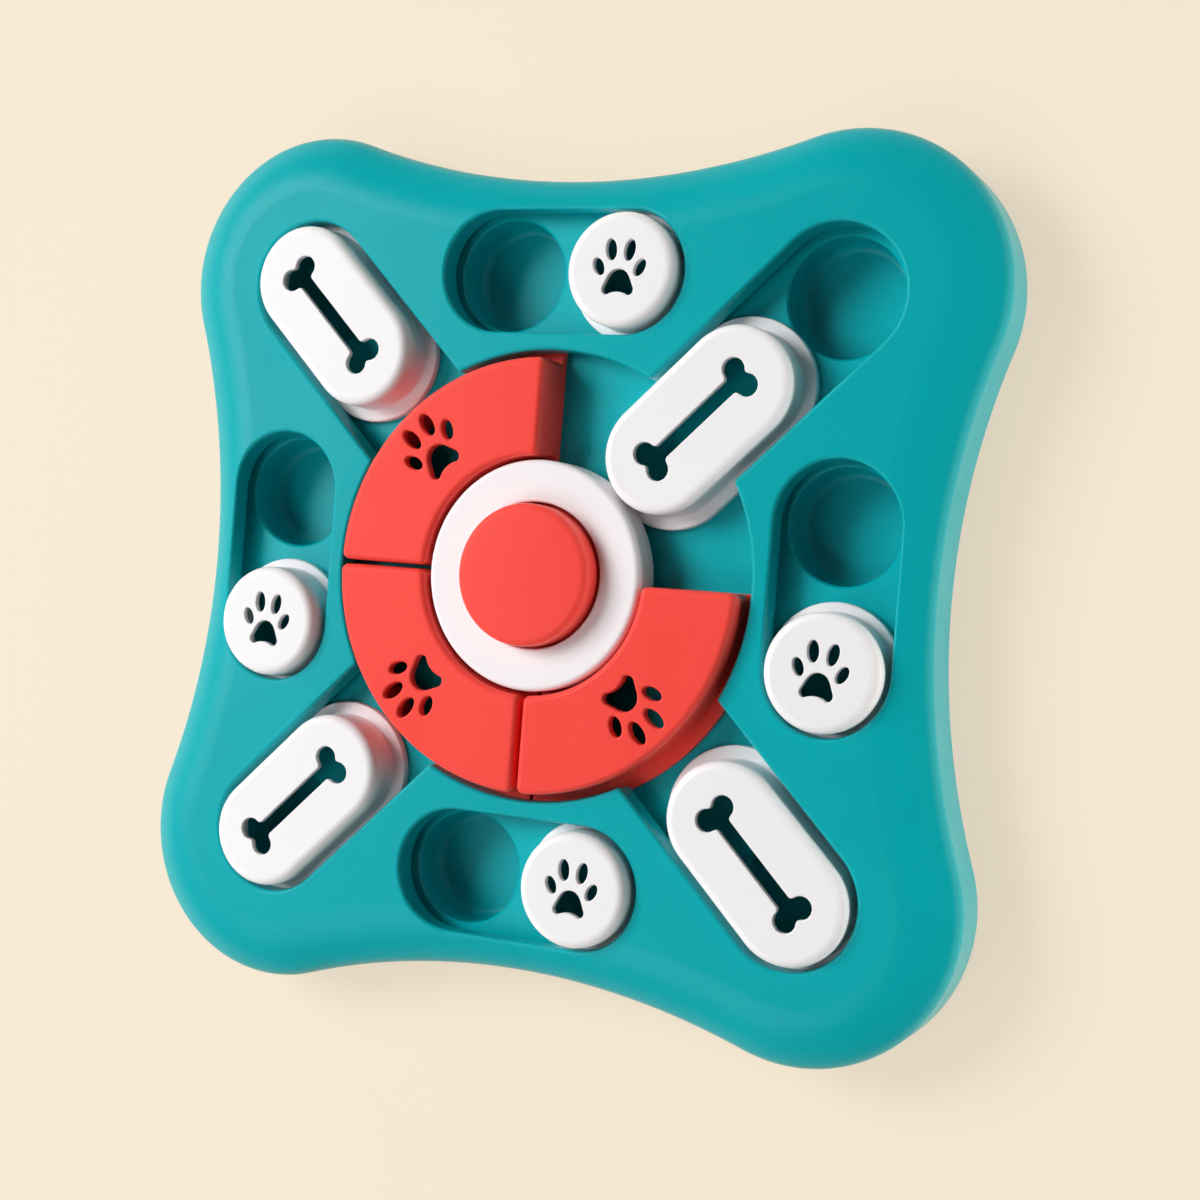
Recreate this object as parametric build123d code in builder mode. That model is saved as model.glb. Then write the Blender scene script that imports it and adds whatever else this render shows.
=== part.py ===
from build123d import *
import os
from math import hypot, sqrt

# Slide-and-turn puzzle board for a pet, lying flat on its feet. Millimetres, +Z up, +X to the
# right and +Y away from the user. The origin is the middle of the board, on the surface it stands on.

# Ring recess in the middle of the board, with three quarter-ring sectors that turn in it
ring_radius = 63.0           # mouth of the round recess
sector_side_gap = 2.4        # sector block to the mouth
sector_end_gap = 1.9         # between neighbouring sectors
sector_flange_reach = 3.6    # flange beyond the block, under the cover's lip
sector_proud = 5.0           # sector tops above the board's face
sector_wall = 2.2
sector_roof = 2.5            # top of a sector
sector_corner = 1.4          # upright corners of a sector
sector_edge = 1.8            # round along a sector's top edges
sector_paw_drop = 3.35       # middle of the paw's pad inward from the middle of its sector
sector_paw_scale = 1.15      # paw print of a sector beside that of a slider

# Corner slots, with a bone slider in each
bone_length = 60.5
bone_width = 32.0
bone_side_gap = 2.6          # slider block to the slot's mouth
bone_flange_reach = 3.6
bone_play = 2.4              # flange of an outer bone to the sectors' flange
bone_tuck = 1.2              # flange further under the lip at the slot's end than at its sides
bone_hole_length = 33.4      # between the knobs of the bone-shaped hole
bone_hole_width = 4.2
bone_knob_spread = 5.8       # between the two knobs of one end
bone_knob_radius = 3.15
bone_neck_round = 1.2        # inside corners between knobs and shaft

# Side slots, with a round paw slider in each
paw_radius = 16.0
paw_side_gap = 1.3
paw_flange_reach = 2.7
paw_travel = 38.8
paw_hole_drop = 3.6          # middle of the paw's pad below the middle of its slider
lane_wall = 4.8              # ring mouth to side-slot mouth

# What both kinds of slider share
slider_proud = 4.0           # slider tops above the board's face
slider_wall = 2.0
slider_roof = 1.6            # top of a slider
slider_edge = 2.6            # round along a slider's top edge
flange_edge = 0.6            # round along a flange's upper edge

# Paw-shaped hole: toes as half-width, half-length, place beside the pad, place above it and lean
pad_top_radius = 3.4
pad_top_rise = 0.2
pad_foot_radius = 1.5
pad_foot_spread = 3.1
pad_foot_drop = 2.0
pad_arch_radius = 6.0
pad_arch_depth = 0.9
inner_toe = (1.55, 2.95, 2.75, 8.8, 8.0)
outer_toe = (1.45, 2.5, 6.1, 4.1, 25.0)

# Tracks between the cover and the tray
track_depth = 10.0           # board's face to the track floor
flange_thickness = 2.5
flange_headroom = 0.4        # above a flange, below the cover's lip
flange_clearance = 0.4       # round a flange in its groove

# Cover
board_thickness = 26.0
foot_proud = 1.5             # hem of the cover above the surface
rim_width = 9.1              # side-slot mouth to the edge at the waist
corner_rim = 27.0            # corner-slot mouth to the tip of the lobe
lobe_radius = 43.0
rim_round = 12.0             # top of the rim
hem_round = 2.5              # foot of the skirt
skirt_wall = 3.0
cover_wall = 3.0             # roof over the hollows
curb_wall = 2.5              # between a groove and a hollow
rim_land = 5.0               # seat of the tray round the edge
lip_round = 0.8              # edges of the mouths
tip_round = 1.0              # corners where ring and corner slots meet

# Tray
plate_thickness = 2.5
tray_clearance = 0.3         # tray to skirt
tray_wall = 2.2
tray_wall_rise = 4.0         # tray's edge above the hem
pocket_depth = 12.0
side_pocket_radius = 16.0
corner_pocket_radius = 16.5
pocket_floor_round = 2.5
pocket_lip_bevel = 0.6
cup_wall = 1.8
cup_floor = 2.0
rib_thickness = 2.0
rib_depth = 6.0

# Hub: a collar round a press button with a squeaker under it
collar_radius = 32.2
collar_band = 11.8           # collar's edge to its hole
collar_lip = 3.7             # collar beyond the boss that carries it
collar_gap = 1.1             # collar to the sectors and to the inner end of a bone
collar_proud = 3.5
collar_round = 1.6
collar_hole_round = 0.8
collar_ledge_height = 5.2    # straight part of the collar's hole, above the button's flange
button_gap = 0.7             # round the button, in the collar's hole
button_proud = 11.0
button_round = 2.2
button_wall = 2.2
button_roof = 2.5
button_flange_reach = 2.7
button_flange = 2.0
button_flange_gap = 0.6      # round the button's flange
button_stop_gap = 0.1        # flange to the ledge above it
plunger_radius = 6.0
well_radius = 17.0
bellows_radius = 14.0
bellows_fold = 3.0           # depth of a fold
bellows_folds = 4
bellows_wall = 1.2
reed_radius = 5.0
reed_flange = 2.0
reed_flange_thickness = 1.5
reed_fit = 0.1
reed_bore = 1.5

# Screws and feet
screw_radius = 1.5
screw_fit = 0.05             # screw to its pilot hole
screw_pass = 0.2             # screw through the tray
screw_grip = 5.5             # length of thread in the cover or the collar
screw_head_radius = 2.8
screw_head = 2.0
screw_cross = 3.6            # length of the cross in a screw head
screw_slot = 0.8             # width of its slots
screw_slot_depth = 1.0
head_clearance = 0.4         # round a head in its counterbore
head_sink = 0.8              # head below the end of its boss
screw_boss_radius = 5.0
cover_boss_depth = 4.0       # between a screw head and the tray's plate
collar_boss_depth = 2.0
boss_side = 1.5              # boss to the curb of the corner groove
foot_radius = 9.0
foot_tread_radius = 7.5
foot_edge = 0.8

# Heights
hem_z = foot_proud
top_z = hem_z + board_thickness
track_z = top_z - track_depth
lip_z = track_z + flange_thickness + flange_headroom
plate_z = track_z - plate_thickness
pocket_z = track_z - pocket_depth
cup_z = pocket_z - cup_floor
slider_top_z = top_z + slider_proud
sector_top_z = top_z + sector_proud
collar_top_z = top_z + collar_proud
button_top_z = top_z + button_proud
collar_ledge_z = collar_top_z - collar_hole_round - collar_ledge_height
button_flange_z = collar_ledge_z - button_stop_gap - button_flange

# Ring and hub radii
sector_outer = ring_radius - sector_side_gap
sector_flange_outer = sector_outer + sector_flange_reach
ring_groove = sector_flange_outer + flange_clearance
boss_radius = collar_radius - collar_lip
sector_inner = collar_radius + collar_gap
sector_flange_inner = boss_radius + flange_clearance
sector_paw_radius = (sector_inner + sector_outer) / 2 - sector_paw_drop
collar_hole = collar_radius - collar_band
button_radius = collar_hole - button_gap
button_flange_radius = button_radius + button_flange_reach
button_cavity = button_flange_radius + button_flange_gap
collar_screw_circle = (button_cavity + boss_radius) / 2

# Corner slots: distances along the diagonal
bone_slot_half = bone_width / 2 + bone_side_gap
bone_flange_length = bone_length + 2 * bone_flange_reach
bone_flange_width = bone_width + 2 * bone_flange_reach
bone_groove_half = bone_flange_width / 2 + flange_clearance
bone_out = sector_flange_outer + bone_play + bone_flange_length / 2
bone_in = collar_radius + collar_gap + bone_length / 2
corner_groove_cap = bone_out + (bone_flange_length - bone_flange_width) / 2
corner_cap = corner_groove_cap - bone_tuck
corner_slot_end = corner_cap + bone_slot_half

# Side slots
paw_slot_half = paw_radius + paw_side_gap
paw_flange_radius = paw_radius + paw_flange_reach
paw_groove_half = paw_flange_radius + flange_clearance
side_slot_offset = ring_radius + lane_wall + paw_slot_half

# Outline: four lobes joined by hollow waists
waist_half = side_slot_offset + paw_slot_half + rim_width
lobe_centre = corner_slot_end + corner_rim - lobe_radius
lobe_reach = lobe_centre / sqrt(2)
waist_in = waist_half - lobe_reach
waist_radius = (waist_in**2 + lobe_reach**2 - lobe_radius**2) / (2 * (lobe_radius - waist_in))
waist_centre = waist_half + waist_radius
tray_inset = skirt_wall + tray_clearance

# Screws beside the corner slots, in each lobe
screw_side = bone_groove_half + curb_wall + boss_side + screw_boss_radius
screw_spots = [
    Vector(lobe_centre, side, 0).rotate(Axis.Z, diagonal)
    for diagonal in (45, 135, 225, 315)
    for side in (-screw_side, screw_side)
]
collar_spots = [
    Vector(collar_screw_circle, 0, 0).rotate(Axis.Z, angle) for angle in (22.5, 112.5, 202.5, 292.5)
]

# Pockets: one under each end of a side slot, and one under the outer end of each corner slot
side_pockets = [
    Vector(side_slot_offset, side, 0).rotate(Axis.Z, angle)
    for angle in (0, 90, 180, 270)
    for side in (-paw_travel / 2, paw_travel / 2)
]
corner_pockets = [Vector(corner_cap, 0, 0).rotate(Axis.Z, diagonal) for diagonal in (45, 135, 225, 315)]

# Where each slider stands: paw sliders by their middle and how far they have spun, bones by diagonal
# and distance out
paw_places = {
    "paw_slider_right": (side_slot_offset, -paw_travel / 2, -6),
    "paw_slider_top": (paw_travel / 2, side_slot_offset, -1),
    "paw_slider_left": (-side_slot_offset, -paw_travel / 2, -4),
    "paw_slider_bottom": (paw_travel / 2, -side_slot_offset, -3),
}
bone_places = {
    "bone_slider_top_right": (45, bone_in),
    "bone_slider_top_left": (135, bone_out),
    "bone_slider_bottom_left": (225, bone_out),
    "bone_slider_bottom_right": (315, bone_out),
}
sector_places = {"ring_sector_top_left": 90, "ring_sector_bottom_left": 180, "ring_sector_bottom_right": 270}


def board_outline(inset=0.0):
    """The board's outline, drawn in from its edge by the inset."""
    share = (lobe_radius - inset) / hypot(waist_centre - lobe_reach, lobe_reach)
    near = Vector(lobe_reach + (waist_centre - lobe_reach) * share, lobe_reach * (1 - share))
    far = Vector(near.Y, near.X)
    tip = Vector(lobe_centre + lobe_radius - inset, 0).rotate(Axis.Z, 45)
    waist = Vector(0, waist_half - inset)
    with BuildSketch() as outline:
        with BuildLine():
            for turn in (0, 90, 180, 270):
                start, middle, end = (point.rotate(Axis.Z, turn) for point in (near, tip, far))
                ThreePointArc(start, middle, end)
                ThreePointArc(end, waist.rotate(Axis.Z, turn), near.rotate(Axis.Z, turn + 90))
        make_face()
    return outline.sketch


def track_plan(ring, corner_reach, corner_half, side_half):
    """Plan of the ring recess, the corner slots to their reach and the side slots, at half-widths."""
    with BuildSketch() as tracks:
        Circle(ring)
        with PolarLocations(corner_reach / 2, 4, start_angle=45):
            SlotCenterToCenter(corner_reach, 2 * corner_half)
        with PolarLocations(side_slot_offset, 4):
            SlotCenterToCenter(paw_travel, 2 * side_half, rotation=90)
    return tracks.sketch


def paw_hole():
    """Paw print, with the middle of its pad at the origin and its toes towards +Y."""
    with BuildSketch() as paw:
        with Locations((0, pad_top_rise)):
            Circle(pad_top_radius)
        with Locations((-pad_foot_spread, -pad_foot_drop), (pad_foot_spread, -pad_foot_drop)):
            Circle(pad_foot_radius)
        make_hull()
        with Locations((0, -pad_foot_drop - pad_foot_radius - pad_arch_radius + pad_arch_depth)):
            Circle(pad_arch_radius, mode=Mode.SUBTRACT)
        for half_width, half_length, beside, above, lean in (inner_toe, outer_toe):
            for side in (-1, 1):
                with Locations((side * beside, above)):
                    Ellipse(half_width, half_length, rotation=-side * lean)
    return paw.sketch


def bone_hole():
    """Bone outline along X, with a pair of knobs at each end of the shaft."""
    with BuildSketch() as bone:
        Rectangle(bone_hole_length, bone_hole_width)
        with GridLocations(bone_hole_length, bone_knob_spread, 2, 2):
            Circle(bone_knob_radius)
        necks = bone.vertices().filter_by(
            lambda spot: bone_knob_radius / 4 < bone_hole_length / 2 - abs(spot.X)
        )
        fillet(necks, bone_neck_round)
    return bone.sketch


def sector_plan(inner, outer, end_gap):
    """Quarter ring between two radii, with its ends drawn in from the X and Y axes."""
    with BuildSketch() as quarter:
        Circle(outer)
        Circle(inner, mode=Mode.SUBTRACT)
        with Locations((end_gap, end_gap)):
            Rectangle(outer, outer, align=(Align.MIN, Align.MIN), mode=Mode.INTERSECT)
    return quarter.sketch


mouths = track_plan(ring_radius, corner_cap, bone_slot_half, paw_slot_half)
grooves = track_plan(ring_groove, corner_groove_cap, bone_groove_half, paw_groove_half)
curbs = track_plan(
    ring_groove + curb_wall, corner_groove_cap, bone_groove_half + curb_wall, paw_groove_half + curb_wall
)

# Rounded body of the board, which trims the cover
with BuildPart() as board_form:
    with BuildSketch(Plane.XY.offset(hem_z)):
        add(board_outline())
    extrude(amount=board_thickness)
    fillet(board_form.faces().sort_by(Axis.Z)[-1].edges(), rim_round)
    fillet(board_form.faces().sort_by(Axis.Z)[0].edges(), hem_round)

# Cover: moulded shell with a skirt, lipped mouths over the tracks and hollows between them
with BuildPart() as top_cover:
    with BuildSketch(Plane.XY.offset(hem_z)):
        add(board_outline())
    extrude(amount=board_thickness)
    with BuildSketch(Plane.XY.offset(lip_z)):
        add(mouths)
    extrude(amount=top_z - lip_z, mode=Mode.SUBTRACT)
    tips = top_cover.edges().filter_by(Axis.Z).filter_by(
        lambda edge: abs(hypot(edge.center().X, edge.center().Y) - ring_radius) < tip_round / 10
    )
    fillet(tips, tip_round)
    lips = [wire.edges() for wire in top_cover.faces().sort_by(Axis.Z)[-1].inner_wires()]
    fillet(lips, lip_round)
    with BuildSketch(Plane.XY.offset(hem_z)):
        add(board_outline(skirt_wall))
    extrude(amount=track_z - hem_z, mode=Mode.SUBTRACT)
    with BuildSketch(Plane.XY.offset(track_z)):
        add(grooves)
    extrude(amount=lip_z - track_z, mode=Mode.SUBTRACT)
    with BuildSketch(Plane.XY.offset(track_z)):
        add(board_outline(tray_inset + rim_land))
        add(curbs, mode=Mode.SUBTRACT)
        with Locations(*screw_spots):
            Circle(screw_boss_radius, mode=Mode.SUBTRACT)
    extrude(amount=track_depth - cover_wall, mode=Mode.SUBTRACT)
    with BuildSketch(Plane.XY.offset(track_z)):
        with Locations(*screw_spots):
            Circle(screw_radius + screw_fit)
    extrude(amount=screw_grip, mode=Mode.SUBTRACT)
    add(board_form.part, mode=Mode.INTERSECT)
top_cover.part.label = "top_cover"

# Tray: track floor with the pockets hung under it, ribs, screw bosses and the boss of the hub
with BuildPart() as base_tray:
    with BuildSketch(Plane.XY.offset(plate_z)):
        add(board_outline(tray_inset))
    extrude(amount=plate_thickness)
    with BuildSketch(Plane.XY.offset(hem_z + tray_wall_rise)):
        add(board_outline(tray_inset))
        add(board_outline(tray_inset + tray_wall), mode=Mode.SUBTRACT)
    extrude(amount=plate_z - hem_z - tray_wall_rise)
    with BuildSketch(Plane.XY.offset(plate_z - rib_depth)):
        with PolarLocations(0, 4):
            Rectangle(waist_half - tray_inset - tray_wall / 2, rib_thickness, align=(Align.MIN, Align.CENTER))
        with PolarLocations(0, 4, start_angle=45):
            Rectangle(corner_cap, rib_thickness, align=(Align.MIN, Align.CENTER))
    extrude(amount=rib_depth)
    with BuildSketch(Plane.XY.offset(cup_z)):
        Circle(well_radius + cup_wall)
        with Locations(*side_pockets):
            Circle(side_pocket_radius + cup_wall)
        with Locations(*corner_pockets):
            Circle(corner_pocket_radius + cup_wall)
    extrude(amount=plate_z - cup_z)
    with BuildSketch(Plane.XY.offset(track_z)):
        Circle(boss_radius)
        Circle(button_cavity, mode=Mode.SUBTRACT)
    extrude(amount=lip_z - track_z)
    for spots, depth in ((screw_spots, cover_boss_depth), (collar_spots, collar_boss_depth)):
        seat_z = plate_z - depth
        foot_z = seat_z - screw_head - head_sink
        with BuildSketch(Plane.XY.offset(foot_z)):
            with Locations(*spots):
                Circle(screw_boss_radius)
        extrude(amount=plate_z - foot_z)
        with BuildSketch(Plane.XY.offset(foot_z)):
            with Locations(*spots):
                Circle(screw_head_radius + head_clearance)
        extrude(amount=seat_z - foot_z, mode=Mode.SUBTRACT)
        with BuildSketch(Plane.XY.offset(seat_z)):
            with Locations(*spots):
                Circle(screw_radius + screw_pass)
        extrude(amount=lip_z - seat_z, mode=Mode.SUBTRACT)
    with BuildSketch(Plane.XY.offset(pocket_z)):
        Circle(well_radius)
        with Locations(*side_pockets):
            Circle(side_pocket_radius)
        with Locations(*corner_pockets):
            Circle(corner_pocket_radius)
    extrude(amount=track_z - pocket_z, mode=Mode.SUBTRACT)
    floors = base_tray.faces(Select.LAST).filter_by(Axis.Z).group_by(Axis.Z)[0]
    fillet(floors.edges(), pocket_floor_round)
    rims = base_tray.edges().filter_by(GeomType.CIRCLE).filter_by(
        lambda edge: abs(edge.arc_center.Z - track_z) < plate_thickness / 4
        and min(abs(edge.radius - radius) for radius in (side_pocket_radius, corner_pocket_radius))
        < pocket_lip_bevel / 4
    )
    chamfer(rims, pocket_lip_bevel)
    with BuildSketch(Plane.XY.offset(cup_z)):
        Circle(reed_radius)
    extrude(amount=pocket_z - cup_z, mode=Mode.SUBTRACT)
base_tray.part.label = "base_tray"

# Paw sliders: round hollow caps on a flange, with a paw print through the top
paw_sliders = []
for name, (place_x, place_y, spin) in paw_places.items():
    floor = Plane((place_x, place_y, track_z))
    with BuildPart() as paw_slider:
        with BuildSketch(floor):
            Circle(paw_radius)
        extrude(amount=slider_top_z - track_z)
        fillet(paw_slider.faces().sort_by(Axis.Z)[-1].edges(), slider_edge)
        with BuildSketch(floor):
            Circle(paw_flange_radius)
        extrude(amount=flange_thickness)
        widest = paw_slider.edges().filter_by(GeomType.CIRCLE).group_by(SortBy.RADIUS)[-1]
        flange_rim = widest.sort_by(Axis.Z)[-1]
        fillet(flange_rim, flange_edge)
        with BuildSketch(floor):
            Circle(paw_radius - slider_wall)
        extrude(amount=slider_top_z - slider_roof - track_z, mode=Mode.SUBTRACT)
        with BuildSketch(floor):
            with Locations(Location(Vector(0, -paw_hole_drop).rotate(Axis.Z, spin), (0, 0, spin))):
                add(paw_hole())
        extrude(amount=slider_top_z - track_z, mode=Mode.SUBTRACT)
    paw_slider.part.label = name
    paw_sliders.append(paw_slider.part)

# Bone sliders: long hollow caps on a flange, with a bone-shaped hole through the top
bone_sliders = []
for name, (diagonal, distance) in bone_places.items():
    outward = Vector(1, 0, 0).rotate(Axis.Z, diagonal)
    floor = Plane(outward * distance + Vector(0, 0, track_z), x_dir=outward)
    with BuildPart() as bone_slider:
        with BuildSketch(floor):
            SlotOverall(bone_length, bone_width)
        extrude(amount=slider_top_z - track_z)
        fillet(bone_slider.faces().sort_by(Axis.Z)[-1].edges(), slider_edge)
        with BuildSketch(floor):
            SlotOverall(bone_flange_length, bone_flange_width)
        extrude(amount=flange_thickness)
        flange_face = bone_slider.faces().filter_by(Axis.Z).sort_by(Axis.Z)[1]
        fillet(flange_face.outer_wire().edges(), flange_edge)
        with BuildSketch(floor):
            SlotOverall(bone_length - 2 * slider_wall, bone_width - 2 * slider_wall)
        extrude(amount=slider_top_z - slider_roof - track_z, mode=Mode.SUBTRACT)
        with BuildSketch(floor):
            add(bone_hole())
        extrude(amount=slider_top_z - track_z, mode=Mode.SUBTRACT)
    bone_slider.part.label = name
    bone_sliders.append(bone_slider.part)

# Ring sectors: hollow quarter rings, flanged under the cover's lip and under the collar
ring_sectors = []
for name, start in sector_places.items():
    floor = Plane((0, 0, track_z)).rotated((0, 0, start))
    half_gap = sector_end_gap / 2
    with BuildPart() as ring_sector:
        with BuildSketch(floor):
            add(sector_plan(sector_inner, sector_outer, half_gap))
        extrude(amount=sector_top_z - track_z)
        fillet(ring_sector.edges().filter_by(Axis.Z), sector_corner)
        fillet(ring_sector.faces().sort_by(Axis.Z)[-1].edges(), sector_edge)
        with BuildSketch(floor):
            add(sector_plan(sector_flange_inner, sector_flange_outer, half_gap))
        extrude(amount=flange_thickness)
        with BuildSketch(floor):
            add(sector_plan(sector_inner + sector_wall, sector_outer - sector_wall, half_gap + sector_wall))
        extrude(amount=sector_top_z - sector_roof - track_z, mode=Mode.SUBTRACT)
        with BuildSketch(floor):
            with Locations(Location(Vector(sector_paw_radius, 0).rotate(Axis.Z, 45), (0, 0, -45))):
                add(scale(paw_hole(), sector_paw_scale, mode=Mode.PRIVATE))
        extrude(amount=sector_top_z - track_z, mode=Mode.SUBTRACT)
    ring_sector.part.label = name
    ring_sectors.append(ring_sector.part)

# Collar on the hub's boss, with a ledge that keeps the button in
with BuildPart() as hub_collar:
    with BuildSketch(Plane.XZ):
        with BuildLine():
            Polyline(
                (collar_hole, collar_top_z - collar_hole_round),
                (collar_hole, collar_ledge_z),
                (button_cavity, collar_ledge_z),
                (button_cavity, lip_z),
                (collar_radius, lip_z),
                (collar_radius, collar_top_z - collar_round),
            )
            RadiusArc(
                (collar_radius, collar_top_z - collar_round),
                (collar_radius - collar_round, collar_top_z),
                -collar_round,
            )
            Line(
                (collar_radius - collar_round, collar_top_z),
                (collar_hole + collar_hole_round, collar_top_z),
            )
            RadiusArc(
                (collar_hole + collar_hole_round, collar_top_z),
                (collar_hole, collar_top_z - collar_hole_round),
                -collar_hole_round,
            )
        make_face()
    revolve(axis=Axis.Z)
    with BuildSketch(Plane.XY.offset(lip_z)):
        with Locations(*collar_spots):
            Circle(screw_radius + screw_fit)
    extrude(amount=screw_grip, mode=Mode.SUBTRACT)
hub_collar.part.label = "hub_collar"

# Press button: a hollow cap with a flange under the collar's ledge and a plunger on the squeaker
with BuildPart() as centre_button:
    with BuildSketch(Plane.XZ):
        with BuildLine():
            Polyline(
                (button_radius, button_top_z - button_round),
                (button_radius, button_flange_z + button_flange),
                (button_flange_radius, button_flange_z + button_flange),
                (button_flange_radius, button_flange_z),
                (button_radius - button_wall, button_flange_z),
                (button_radius - button_wall, button_top_z - button_roof),
                (plunger_radius, button_top_z - button_roof),
                (plunger_radius, button_flange_z),
                (0, button_flange_z),
                (0, button_top_z),
                (button_radius - button_round, button_top_z),
            )
            RadiusArc(
                (button_radius - button_round, button_top_z),
                (button_radius, button_top_z - button_round),
                button_round,
            )
        make_face()
    revolve(axis=Axis.Z)
centre_button.part.label = "centre_button"

# Squeaker: a folded bellows under the plunger, and the reed that sounds in the floor of the well
fold_height = (button_flange_z - bellows_wall - pocket_z) / (2 * bellows_folds)
bellows_outside = [
    (bellows_radius - bellows_fold * (step % 2), pocket_z + step * fold_height)
    for step in range(2 * bellows_folds + 1)
]
bellows_inside = [(radius - bellows_wall, height) for radius, height in bellows_outside]
with BuildPart() as squeaker_bellows:
    with BuildSketch(Plane.XZ):
        with BuildLine():
            Polyline(
                *bellows_outside,
                (bellows_radius, button_flange_z),
                (0, button_flange_z),
                (0, button_flange_z - bellows_wall),
                *reversed(bellows_inside),
                close=True,
            )
        make_face()
    revolve(axis=Axis.Z)
squeaker_bellows.part.label = "squeaker_bellows"

with BuildPart() as squeaker_reed:
    with BuildSketch(Plane.XY.offset(cup_z)):
        Circle(reed_radius - reed_fit)
    extrude(amount=cup_floor)
    with BuildSketch(Plane.XY.offset(pocket_z)):
        Circle(reed_radius + reed_flange)
    extrude(amount=reed_flange_thickness)
    Hole(reed_bore)
squeaker_reed.part.label = "squeaker_reed"

# Screws, put in from below: pan heads with a cross, in the counterbores of the tray's bosses
screw_groups = {
    "cover_screws": (screw_spots, plate_z - cover_boss_depth, track_z + screw_grip),
    "collar_screws": (collar_spots, plate_z - collar_boss_depth, lip_z + screw_grip),
}
screws = []
for name, (spots, seat_z, end_z) in screw_groups.items():
    with BuildPart() as screw_group:
        with BuildSketch(Plane.XY.offset(seat_z - screw_head)):
            with Locations(*spots):
                Circle(screw_head_radius)
        extrude(amount=screw_head)
        with BuildSketch(Plane.XY.offset(seat_z)):
            with Locations(*spots):
                Circle(screw_radius)
        extrude(amount=end_z - seat_z)
        with BuildSketch(Plane.XY.offset(seat_z - screw_head)):
            with Locations(*spots):
                Rectangle(screw_cross, screw_slot)
                Rectangle(screw_slot, screw_cross)
        extrude(amount=screw_slot_depth, mode=Mode.SUBTRACT)
    screw_group.part.label = name
    screws.append(screw_group.part)

# Rubber feet under the corner pockets
with BuildPart() as rubber_feet:
    for spot in corner_pockets:
        with BuildSketch(Plane((spot.X, spot.Y, 0))):
            Circle(foot_tread_radius)
        with BuildSketch(Plane((spot.X, spot.Y, cup_z))):
            Circle(foot_radius)
        loft()
    fillet(rubber_feet.edges().group_by(Axis.Z)[0], foot_edge)
rubber_feet.part.label = "rubber_feet"

os.makedirs("parts", exist_ok=True)
shells = [top_cover.part, base_tray.part, rubber_feet.part]
hub = [hub_collar.part, centre_button.part, squeaker_bellows.part, squeaker_reed.part]
for piece in shells + hub + paw_sliders + bone_sliders + ring_sectors + screws:
    export_step(piece, f"parts/{piece.label}.step")
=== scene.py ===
"""Looks of a slide-and-turn puzzle board for a pet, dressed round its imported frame.

The shells are drawn in millimetres as plan curves with stacked profiles, and become meshes in
metres. Angles are in degrees.
"""

import logging
import math
from abc import ABC, abstractmethod
from dataclasses import dataclass
from enum import Enum
from typing import Any, Callable, Iterable, Mapping, Sequence, Union

import bpy
import numpy as np
from mathutils import Matrix, Vector
from mathutils.geometry import delaunay_2d_cdt

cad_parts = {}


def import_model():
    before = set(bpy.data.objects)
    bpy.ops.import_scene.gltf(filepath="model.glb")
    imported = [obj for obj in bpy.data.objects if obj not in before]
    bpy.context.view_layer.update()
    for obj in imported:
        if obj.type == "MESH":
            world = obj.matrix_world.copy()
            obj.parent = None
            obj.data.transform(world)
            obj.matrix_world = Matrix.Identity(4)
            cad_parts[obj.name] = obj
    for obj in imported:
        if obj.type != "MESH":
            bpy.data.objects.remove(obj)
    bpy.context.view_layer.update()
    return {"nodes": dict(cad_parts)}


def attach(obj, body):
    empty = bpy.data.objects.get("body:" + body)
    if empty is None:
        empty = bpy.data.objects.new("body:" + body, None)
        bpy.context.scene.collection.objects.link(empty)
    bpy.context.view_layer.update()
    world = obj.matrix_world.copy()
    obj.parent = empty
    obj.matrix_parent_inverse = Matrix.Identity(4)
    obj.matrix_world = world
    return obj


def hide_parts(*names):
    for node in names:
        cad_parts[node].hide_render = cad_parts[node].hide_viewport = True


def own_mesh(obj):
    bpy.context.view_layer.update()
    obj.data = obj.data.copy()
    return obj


LOG = logging.getLogger("puzzle_board")
MM = 0.001
ARC_STEP = 1.3  # longest chord along a plan curve, in millimetres
LEAST_STEPS = 6  # chords in the smallest arc of a plan curve
ROUND_STEPS = 8  # chords in a round of a profile, and in a small one
SMALL_STEPS = 4
ELLIPSE_STEPS = 36
JUNCTION = 1e-6  # plan points closer than this are one point
WELD_DIGITS = 5  # corners that agree to this many digits of a millimetre are one vertex
GRAIN_HEIGHT = 0.0004  # metres between the hollows and the tips of a grain


class Slot(Enum):
    """Material slots of the pieces, by name."""

    TEAL = "teal_plastic"
    WHITE = "white_plastic"
    RED = "red_plastic"
    RUBBER = "black_rubber"
    STEEL = "screw_steel"


class Way(Enum):
    """Directions from the board's middle, in degrees."""

    @property
    def word(self) -> str:
        """The name as the nodes and bodies spell it."""
        return self.name.lower()


class Side(Way):
    """Sides of the board that have a side slot."""

    RIGHT = 0
    TOP = 90
    LEFT = 180
    BOTTOM = 270


class Corner(Way):
    """Corners of the board that have a corner slot."""

    TOP_RIGHT = 45
    TOP_LEFT = 135
    BOTTOM_LEFT = 225
    BOTTOM_RIGHT = 315


# Plan curves and skins


def ray(turn: float, reach: float = 1.0) -> tuple[float, float]:
    """The point at a reach from the origin, in a direction in degrees."""
    return reach * math.cos(math.radians(turn)), reach * math.sin(math.radians(turn))


def bearing(x: float, y: float) -> float:
    """Direction of a point from the origin, in degrees."""
    return math.degrees(math.atan2(y, x))


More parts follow.
